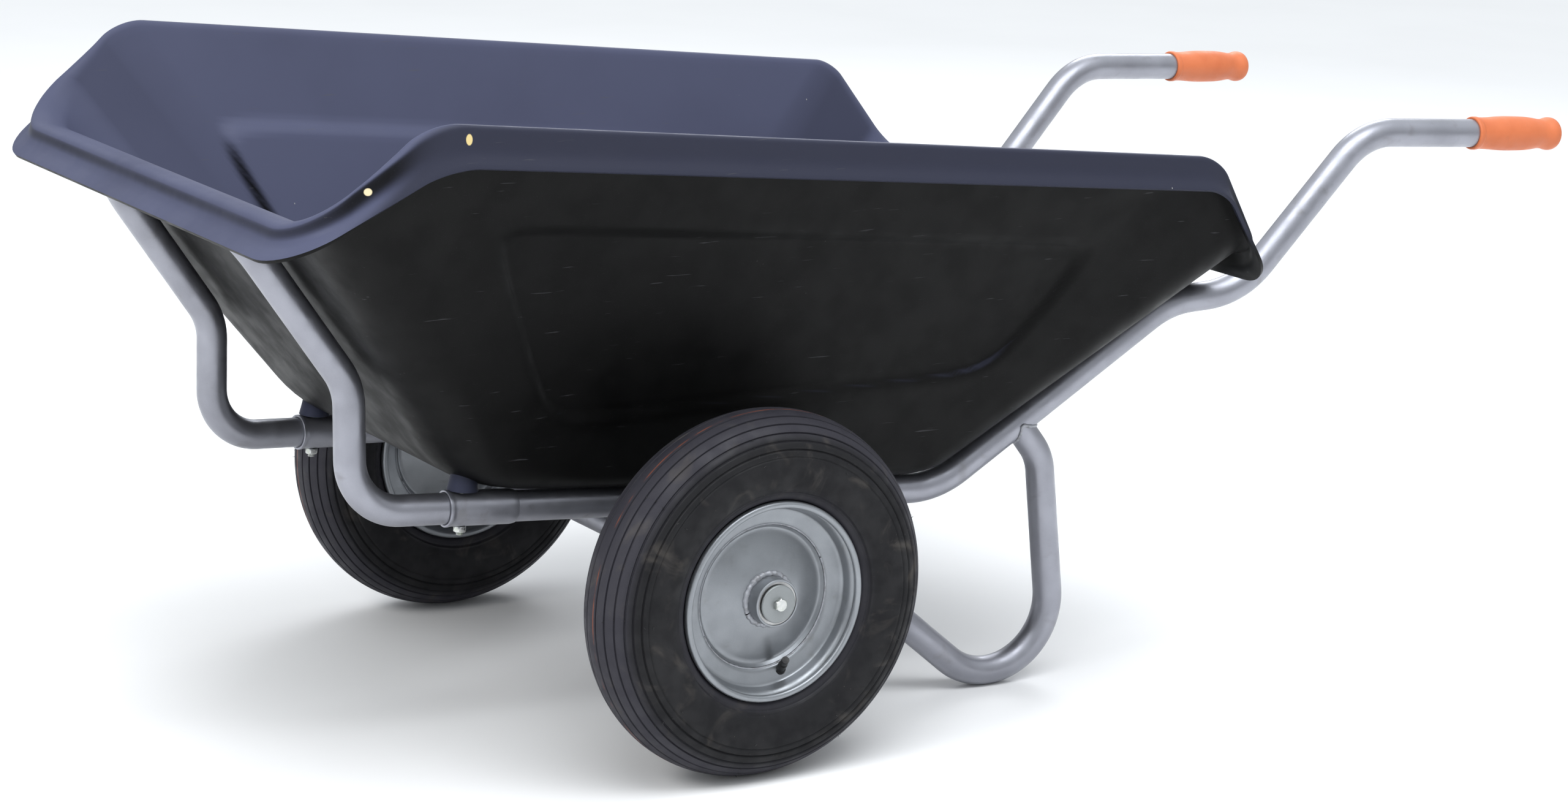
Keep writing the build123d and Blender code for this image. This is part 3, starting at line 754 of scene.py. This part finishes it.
# The sleeve's mouth is drawn out a little and its rear end is pressed on to the rail.
SLEEVE_PROFILE = [
    (0.0, 17.1, 0),
    (0.0, 18.0, 0.6),
    (5.0, 19.0, 3.0),
    (74.0, 19.0, 2.0),
    (77.5, 19.9, 1.0),
    (80.6, 19.9, 0.9),
    (80.6, 17.4, 0.5),
    (60.0, 17.0, 0),
]
for name, side in SIDES:
    base, tip = (place(*mirrored([run_point(x)], side)[0]) for x in (SLEEVE_REAR_X, SLEEVE_FRONT_X))
    shape = revolved(base, tip - base, softened(SLEEVE_PROFILE), 64)
    piece(f"sleeve_tube_{name}", *shape, FRAME_PAINT, "frame_paint", stands_for=[f"sleeve_{name}"])


COPE_POINTS = 72
LEG_BEAD_R = 2.3
AXLE_BEAD_R = 2.2
AXLE_BEAD_RING_R = 18.0
BRACKET_FACE = 5.2          # where the beads sit, to each side of a bracket's middle


def coped(start, direction, along_point, along_direction):
    """Where a tube's surface first meets another tube, as a ring of points."""
    axis, first, second = across(direction)
    other = along_direction.normalized()
    ring = []
    for here in ring_of(start, first, second, [TUBE_R * MM] * COPE_POINTS):
        gap = here - along_point
        gap -= other * gap.dot(other)
        step = axis - other * axis.dot(other)
        a, b, c = step.dot(step), 2 * gap.dot(step), gap.dot(gap) - (TUBE_R * MM) ** 2
        root = b * b - 4 * a * c
        reach = (-b - math.sqrt(max(root, 0.0))) / (2 * a)
        ring.append(here + axis * reach)
    return ring


for name, side in SIDES:
    line_points = [LEG_POINTS[1], LEG_POINTS[0], run_point(0.0), run_point(-300.0)]
    front = [place(*p) for p in mirrored(line_points, side)]
    ring = coped(front[1] + (front[0] - front[1]) * 0.3, front[1] - front[0], front[2], front[3] - front[2])
    piece(f"leg_weld_front_{name}", *bead(ring, LEG_BEAD_R, side), WELD, "frame_paint", sharp=80.0)
    line_points = [LEG_POINTS[2], LEG_POINTS[3], RAIL_POINTS[1], RAIL_POINTS[2]]
    rear = [place(*p) for p in mirrored(line_points, side)]
    ring = coped(rear[0], rear[1] - rear[0], rear[2], rear[3] - rear[2])
    piece(f"leg_weld_rear_{name}", *bead(ring, LEG_BEAD_R, side + 5), WELD, "frame_paint", sharp=80.0)
    for end, offset in (("inner", -BRACKET_FACE), ("outer", BRACKET_FACE)):
        middle = place(0, side * (run_point(0.0)[1] + offset), AXLE_Z)
        ring = ring_of(middle, Vector((1, 0, 0)), Vector((0, 0, 1)), [AXLE_BEAD_RING_R * MM] * 60)
        seam = bead(ring, AXLE_BEAD_R, offset)
        piece(f"axle_weld_{end}_{name}", *seam, WELD, "frame_paint", sharp=80.0)

# ---------------------------------------------------------------- grips
GRIP_START_X = -1042.5
GRIP_END_X = -1175.2
handle_bend, handle_end = Vector(RAIL_POINTS[-2]), Vector(RAIL_POINTS[-1])
handle_run = (handle_end - handle_bend) / (handle_end.x - handle_bend.x)
grip_root = handle_bend + handle_run * (GRIP_START_X - handle_bend.x)
grip_axis = handle_run * (GRIP_END_X - GRIP_START_X)
grip_length = grip_axis.length
GRIP_PROFILE = [
    (0.0, 17.0, 0),
    (0.0, 19.0, 0.8),
    (1.6, 20.0, 0.8),
    (6.2, 20.0, 1.0),
    (7.6, 19.2, 0.8),
    (20.0, 18.9, 8.0),
    (46.0, 21.0, 14.0),
    (86.0, 20.4, 14.0),
    (108.5, 17.0, 8.0),
    (121.0, 20.7, 5.0),
    (130.0, 18.2, 5.0),
    (grip_length, 9.0, 4.0),
    (grip_length, 0.0, 0),
    (20.0, 0.0, 0),
]
for name, side in SIDES:
    root = place(grip_root.x, grip_root.y * side, grip_root.z)
    heading = Vector((grip_axis.x, grip_axis.y * side, grip_axis.z))
    shape = revolved(root, heading, softened(GRIP_PROFILE, 6), 72)
    piece(f"handle_grip_{name}", *shape, GRIP, "grip_plastic", stands_for=[f"grip_{name}"], sharp=50.0)

# ---------------------------------------------------------------- wheels
TYRE_CENTRE_R = 148.4       # middle of the round cross-section
TYRE_ROUND_R = 51.6
CROWN_LIMIT = 51.0          # degrees
CROWN_STEP = 0.35           # degrees
GROOVE_ANGLES = (9.5, 23.0, 36.5, 49.0)
GROOVE_DEPTH = 1.9
GROOVE_HALF = 1.3           # degrees
# Sidewall from the shoulder to the bead, from the middle plane.
SIDEWALL = [
    (40.0, 181.0),
    (43.0, 177.4),
    (45.2, 173.0),
    (47.6, 166.0),
    (49.2, 157.0),
    (49.7, 148.0),
    (49.2, 139.0),
    (47.4, 130.0),
    (44.4, 122.5),
    (41.8, 117.6),
    (39.2, 112.6),
    (36.0, 110.2),
    (31.8, 109.4),
    (28.5, 104.2),
    (21.0, 103.2),
]
# Inside of the tyre, from the bead to the middle plane.
TYRE_INSIDE = [
    (25.0, 114.0),
    (38.0, 124.0),
    (44.0, 146.0),
    (42.0, 162.0),
    (34.0, 176.5),
    (18.0, 187.5),
    (0.0, 191.0),
]
# Ridges (+) and grooves (-) of the sidewall: radius and height.
SIDEWALL_RIBS = ((175.2, -1.9), (166.4, -1.9), (158.6, -1.0), (121.0, 0.9), (118.2, -0.8))


def catmull(points, per_span):
    """A smooth line through points."""
    rows = [Vector(p) for p in points]
    rows = [rows[0] * 2 - rows[1]] + rows + [rows[-1] * 2 - rows[-2]]
    made = []
    for a, b, c, d in zip(rows, rows[1:], rows[2:], rows[3:]):
        for k in range(per_span):
            u = k / per_span
            square = (a * 2 - b * 5 + c * 4 - d) * u * u
            cube = (b * 3 - a - c * 3 + d) * u**3
            made.append((b * 2 + (c - a) * u + square + cube) / 2)
    made.append(rows[-2])
    return made


def tyre_profile():
    """Closed profile of the tyre from its middle plane: ribbed crown, sidewalls and beads."""
    half = []
    angle = 0.0
    while angle < CROWN_LIMIT:
        depth = 0.0
        for groove in GROOVE_ANGLES:
            away = abs(angle - groove) / GROOVE_HALF
            if away < 1:
                depth = GROOVE_DEPTH * min(1.0, 2.2 * (1 - away))
        turn = math.radians(angle)
        radius = TYRE_ROUND_R - depth
        half.append((radius * math.sin(turn), TYRE_CENTRE_R + radius * math.cos(turn)))
        angle += CROWN_STEP
    wall = catmull(SIDEWALL, 16)
    last = len(wall) - 1
    for i, here in enumerate(wall):
        ahead = wall[min(i + 1, last)] - wall[max(i - 1, 0)]
        normal = Vector((-ahead.y, ahead.x)).normalized()
        lift = sum(height * math.exp(-((here.y - at) ** 2)) for at, height in SIDEWALL_RIBS)
        half.append(tuple(here + normal * lift))
    other = [(-y, r) for y, r in (half + TYRE_INSIDE[:-1])[:0:-1]]
    return half + TYRE_INSIDE + other


# Middle line of the pressed rim: curled edge, bead seat and well, then the same on the other side.
RIM_HALF = [
    (38.4, 102.8, 0),
    (41.4, 103.4, 2.2),
    (41.4, 108.0, 2.2),
    (35.4, 108.2, 2.6),
    (33.6, 103.4, 2.0),
    (30.5, 101.0, 2.0),
    (21.6, 98.8, 2.0),
    (19.6, 96.0, 2.0),
    (17.2, 81.6, 2.5),
    (15.0, 79.6, 0),
]
DISC_LINE = [(14.6, 78.6, 0), (10.4, 75.2, 2.0), (10.6, 70.8, 3.0), (23.4, 37.0, 9.0), (25.0, 27.4, 0)]
RIM_SHEET = 2.4
HUB_OUTER_Y = 394.0
HUB_INNER_Y = 303.5
HUB_PROFILE = [
    (HUB_INNER_Y, 23.5, 0.6),
    (HUB_OUTER_Y, 23.5, 0.6),
    (HUB_OUTER_Y, 26.0, 1.1),
    (HUB_INNER_Y, 26.0, 1.4),
]
WASHER_Y = 394.6
WASHER_H = 2.5
WASHER_PROFILE = [
    (WASHER_Y, 4.2, 0),
    (WASHER_Y, 20.6, 0),
    (WASHER_Y + 1.6, 20.6, 0.6),
    (WASHER_Y + WASHER_H, 19.6, 0.6),
    (WASHER_Y + WASHER_H, 4.2, 0.3),
]
SEAL_PROFILE = [
    (390.2, 15.0, 0),
    (390.2, 23.4, 0),
    (391.6, 23.3, 0.4),
    (392.4, 22.6, 0.4),
    (391.6, 15.0, 0),
]
HAIR_TURNS = 9
HAIR_ANGLES = (23.0, 36.5, 49.0, 60.0, 72.0, 84.0)
HAIR_LENGTH = 3.2
HAIR_RADII = (0.42, 0.16)   # at the root and at the tip
HAIR_SIDES = 5


def vent_hairs(side):
    """Points and faces of the thin rubber hairs that moulding leaves across the bands."""
    points, faces = [], []
    for k in range(HAIR_TURNS):
        for j, angle in enumerate(HAIR_ANGLES):
            turn = 2 * math.pi * (k + 0.03 * math.sin(7.0 * k + j)) / HAIR_TURNS
            lean = math.radians(angle)
            radius = TYRE_CENTRE_R + (TYRE_ROUND_R - 0.8) * math.cos(lean)
            root_y = WHEEL_Y + (TYRE_ROUND_R - 1.4) * math.sin(lean)
            outward = Vector((math.cos(turn), 0, math.sin(turn)))
            root = place(0, side * root_y, AXLE_Z) + outward * (radius * MM)
            bend = Vector((math.cos(5.0 * k + j), 0.4 * side, math.sin(5.0 * k + j)))
            tip = root + (outward * 0.5 * math.cos(lean) + bend * 0.8) * (HAIR_LENGTH * MM)
            _, first, second = across(tip - root)
            rings = [
                ring_of(centre, first, second, [size * MM] * HAIR_SIDES)
                for centre, size in zip((root, tip), HAIR_RADII)
            ]
            hair_points, hair_faces = skin(rings, capped=True)
            faces += [tuple(len(points) + corner for corner in face) for face in hair_faces]
            points += hair_points
    return points, faces


HEX_POINTS = 60
HEX_FLATS = 13.0
NUT_H = 6.5
NUT_BORE_R = 4.0
HEAD_H = 5.3
THREAD_R = 3.95
THREAD_PITCH = 1.25
THREAD_DEPTH = 0.6
THREAD_LEVELS = 6           # rings for each turn of the thread
THREAD_POINTS = 24


def hex_piece(origin, direction, flats, height, hole=0.0):
    """Points and faces of a hexagon head or nut with chamfered corners."""
    axis, first, second = across(direction)
    corner = flats / math.sqrt(3)
    top_limit = flats / 2 * 0.96
    levels = [(0.0, top_limit), (0.7, flats / 2 * 1.04), (1.2, corner), (height - 1.2, corner)]
    levels += [(height - 0.7, flats / 2 * 1.04), (height, top_limit)]
    folds = []
    for k in range(HEX_POINTS):
        turn = 2 * math.pi * k / HEX_POINTS
        folds.append((turn + math.pi / 6) % (math.pi / 3) - math.pi / 6)
    rings = []
    for along, limit in levels:
        radii = [min(flats / 2 / math.cos(fold), limit) * MM for fold in folds]
        rings.append(ring_of(origin + axis * (along * MM), first, second, radii))
    if hole:
        for along in (height, 0.0):
            rings.append(ring_of(origin + axis * (along * MM), first, second, [hole * MM] * HEX_POINTS))
        return skin(rings, looped=True)
    return skin(rings, capped=True)


def thread(origin, direction, start, end):
    """Points and faces of a threaded rod."""
    axis, first, second = across(direction)
    rings = []
    total = max(2, int((end - start) / THREAD_PITCH * THREAD_LEVELS))
    for i in range(total + 1):
        along = start + (end - start) * i / total
        radii = []
        for k in range(THREAD_POINTS):
            phase = (along / THREAD_PITCH - k / THREAD_POINTS) % 1.0
            radii.append((THREAD_R - THREAD_DEPTH * abs(2 * phase - 1)) * MM)
        rings.append(ring_of(origin + axis * (along * MM), first, second, radii))
    return skin(rings, capped=True)


# Weld beads of the wheel: distance from its middle plane, ring radius and bead radius.
HUB_BEAD = (25.6, 27.6, 3.6)
RIM_BEAD = (15.4, 79.4, 1.3)


def ring_path(y, radius, side, count):
    """Points round the wheel axis."""
    path = []
    for k in range(count):
        turn = 2 * math.pi * k / count
        path.append(place(radius * math.cos(turn), side * y, AXLE_Z + radius * math.sin(turn)))
    return path


for name, side in SIDES:
    middle = place(0, 0, AXLE_Z)
    out = Vector((0, side, 0))
    wheel = f"wheel_{name}"
    tread = revolved(middle, out, [(WHEEL_Y + y, r) for y, r in tyre_profile()], 180)
    piece(f"tyre_tread_{name}", *tread, TYRE, "tyre_rubber", wheel, [f"tyre_{name}"], 28.0)
    piece(f"tyre_hairs_{name}", *vent_hairs(side), RUBBER, "tyre_rubber", wheel)
    rim_line = [(WHEEL_Y + y, r, t) for y, r, t in RIM_HALF]
    rim_line += [(WHEEL_Y - y, r, t) for y, r, t in RIM_HALF[::-1]]
    rim = revolved(middle, out, sheet(rim_line, RIM_SHEET), 160)
    piece(f"rim_ring_{name}", *rim, WHEEL_PAINT, "wheel_paint", wheel, [f"rim_{name}"], 50.0)
    for end, sign in (("outer", 1), ("inner", -1)):
        disc_line = [(WHEEL_Y + sign * y, r, t) for y, r, t in DISC_LINE]
        disc = revolved(middle, out, sheet(disc_line, RIM_SHEET), 128)
        stood = [f"disc_{end}_{name}"]
        piece(f"disc_{end}_plate_{name}", *disc, WHEEL_PAINT, "wheel_paint", wheel, stood, 50.0)
        path = ring_path(WHEEL_Y + sign * HUB_BEAD[0], HUB_BEAD[1], side, 120)
        seam = bead(path, HUB_BEAD[2], sign + 3 * side)
        piece(f"hub_weld_{end}_{name}", *seam, WELD, "wheel_paint", wheel, sharp=80.0)
        path = ring_path(WHEEL_Y + sign * RIM_BEAD[0], RIM_BEAD[1], side, 300)
        seam = bead(path, RIM_BEAD[2], sign + 7 * side)
        piece(f"rim_weld_{end}_{name}", *seam, WELD, "wheel_paint", wheel, sharp=80.0)
    barrel = revolved(middle, out, softened(HUB_PROFILE), 80)
    piece(f"hub_barrel_{name}", *barrel, WHEEL_PAINT, "wheel_paint", wheel, [f"hub_{name}"], 50.0)
    seal = revolved(middle, out, softened(SEAL_PROFILE), 72)
    piece(f"bearing_seal_{name}", *seal, RUBBER, "soft_rubber", wheel)
    washer = revolved(middle, out, softened(WASHER_PROFILE), 72)
    piece(f"end_washer_{name}", *washer, WASHER_PAINT, "zinc_plate", stands_for=[f"axle_washer_{name}"])
    head = hex_piece(middle + out * ((WASHER_Y + WASHER_H) * MM), out, HEX_FLATS, HEAD_H)
    stood = [f"axle_bolt_{name}"]
    piece(f"axle_bolt_head_{name}", *head, ZINC, "zinc_plate", stands_for=stood, sharp=25.0)

# ---------------------------------------------------------------- tub bolts
FRONT_BOLT_X = 262.0
REAR_BOLT_X = -236.0
SLEEVE_R = 19.0
FLAT_WASHER_H = 2.2
ROUND_HEAD_R = 8.0
BOLT_TAIL = 3.4             # how far a bolt reaches past its nut
FLOOR_UNDER = (FLOOR_TOP - SHEET_WALL - RAIL_Z) / math.hypot(1, FLOOR_SLOPE)
FLOOR_INSIDE = (FLOOR_TOP - RAIL_Z) / math.hypot(1, FLOOR_SLOPE)
BOLT_SEAT = FLOOR_UNDER + 23.0
up = Vector((-FLOOR_SLOPE, 0, 1)).normalized()


def washer_loop(low, high, bore, radius):
    return [(low, bore, 0), (low, radius, 0.4), (high, radius, 0.6), (high, bore, 0)]


def dome_loop(low, radius, height):
    """A round bolt head's profile."""
    return [
        (low, 0.0, 0),
        (low, radius, 0.3),
        (low + height * 0.35, radius * 0.98, 1.0),
        (low + height, radius * 0.55, 2.0),
        (low + height, 0.0, 0),
    ]


BOSS_LOOP = [
    (20.0, 4.4, 0),
    (20.0, 17.0, 0),
    (32.0, 14.5, 4.0),
    (BOLT_SEAT, 13.0, 1.2),
    (BOLT_SEAT, 4.4, 0),
]
for name, side in SIDES:
    for end, x, seat, radius in (
        ("front", FRONT_BOLT_X, BOLT_SEAT, SLEEVE_R),
        ("rear", REAR_BOLT_X, FLOOR_INSIDE, TUBE_R),
    ):
        foot = place(*mirrored([run_point(x)], side)[0])
        stood = [f"tub_bolts_{end}", f"tub_washers_{end}", f"tub_nuts_{end}"] if side > 0 else []
        head = revolved(foot, up, softened(dome_loop(seat + FLAT_WASHER_H, ROUND_HEAD_R, HEAD_H)), 40)
        piece(f"tub_bolt_head_{end}_{name}", *head, ZINC, "zinc_plate", stands_for=stood[:1])
        flat = revolved(foot, up, softened(washer_loop(seat, seat + FLAT_WASHER_H, 4.2, 11.0)), 40)
        piece(f"tub_bolt_washer_{end}_{name}", *flat, ZINC, "zinc_plate", stands_for=stood[1:2])
        nut = hex_piece(foot - up * ((radius + NUT_H) * MM), up, HEX_FLATS, NUT_H, NUT_BORE_R)
        piece(f"tub_nut_{end}_{name}", *nut, ZINC, "zinc_plate", stands_for=stood[2:], sharp=25.0)
        rod = thread(foot, up, -radius - NUT_H - BOLT_TAIL, seat)
        piece(f"tub_bolt_thread_{end}_{name}", *rod, ZINC, "zinc_plate", sharp=20.0)
    foot = place(*mirrored([run_point(FRONT_BOLT_X)], side)[0])
    nut = hex_piece(foot + up * (SLEEVE_R * MM), up, HEX_FLATS, NUT_H, NUT_BORE_R)
    stood = ["sleeve_nuts"] if side > 0 else []
    piece(f"sleeve_nut_{name}", *nut, ZINC, "zinc_plate", stands_for=stood, sharp=25.0)
    boss = revolved(foot, up, softened(BOSS_LOOP), 48)
    piece(f"tub_boss_{name}", *boss, TUB, "tub_plastic", sharp=50.0)

# ---------------------------------------------------------------- floor, light and camera
FLOOR_HALF = 30.0
floor_mesh = bpy.data.meshes.new("floor")
floor_corners = [(x * FLOOR_HALF, y * FLOOR_HALF, 0) for x, y in ((-1, -1), (1, -1), (1, 1), (-1, 1))]
floor_mesh.from_pydata(floor_corners, [], [(0, 1, 2, 3)])
floor = bpy.data.objects.new("floor", floor_mesh)
bpy.context.scene.collection.objects.link(floor)
pale = Shader("pale_floor", (0.86, 0.86, 0.865), 0.9, specular=0.1)
pale.tint(pale.between(pale.noise(2.0, 3.0), 0.3, 0.8), (0.84, 0.84, 0.845))
floor_mesh.materials.append(pale.material)

world = bpy.data.worlds.new("studio")
world.use_nodes = True
sky = world.node_tree
sky_place = sky.nodes.new("ShaderNodeTexCoord")
sky_height = sky.nodes.new("ShaderNodeSeparateXYZ")
sky_ramp = sky.nodes.new("ShaderNodeValToRGB")
sky_ramp.color_ramp.elements[0].position = 0.02
sky_ramp.color_ramp.elements[0].color = (0.36, 0.37, 0.38, 1)
sky_ramp.color_ramp.elements[1].position = 0.75
sky_ramp.color_ramp.elements[1].color = (0.93, 0.97, 1.0, 1)
sky.links.new(sky_place.outputs["Generated"], sky_height.inputs[0])
sky.links.new(sky_height.outputs["Z"], sky_ramp.inputs["Fac"])
sky.links.new(sky_ramp.outputs["Color"], sky.nodes["Background"].inputs["Color"])
sky.nodes["Background"].inputs["Strength"].default_value = 1.15
bpy.context.scene.view_settings.view_transform = "Standard"
bpy.context.scene.world = world


def area_light(name, spot, target, size, watts, color):
    data = bpy.data.lights.new(name, "AREA")
    data.shape = "RECTANGLE"
    data.size, data.size_y = size
    data.energy = watts
    data.color = color
    lamp = bpy.data.objects.new(name, data)
    lamp.location = spot
    lamp.rotation_mode = "QUATERNION"
    lamp.rotation_quaternion = (Vector(target) - Vector(spot)).to_track_quat("-Z", "Y")
    bpy.context.scene.collection.objects.link(lamp)


area_light("sky_light", (0.5, 1.4, 4.0), (0.0, 0.0, 0.4), (4.0, 2.6), 150.0, (0.96, 0.98, 1.0))
area_light("front_light", (3.4, 0.6, 2.8), (0.2, 0.0, 0.4), (1.8, 1.2), 58.0, (1.0, 0.99, 0.97))
area_light("back_light", (-2.4, -2.6, 2.8), (-0.1, 0.0, 0.5), (2.0, 1.2), 55.0, (0.95, 0.97, 1.0))

# The camera: place and axes in the part's frame.
CAMERA_SPOT = place(1945.36, 3352.49, 1278.04)
CAMERA_AHEAD = Vector((-0.53368202, -0.81204488, -0.23614955))
CAMERA_RIGHT = Vector((-0.83980346, 0.54176522, 0.03493689))
LENS_MM = 80.93
camera_data = bpy.data.cameras.new("camera")
camera_data.sensor_width = 36.0
camera_data.lens = LENS_MM
camera = bpy.data.objects.new("camera", camera_data)
bpy.context.scene.collection.objects.link(camera)
ahead = CAMERA_AHEAD.normalized()
right = (CAMERA_RIGHT - ahead * CAMERA_RIGHT.dot(ahead)).normalized()
upward = right.cross(ahead)
turned = Matrix((right, upward, -ahead)).transposed().to_4x4()
camera.matrix_world = Matrix.Translation(CAMERA_SPOT) @ turned
bpy.context.scene.camera = camera
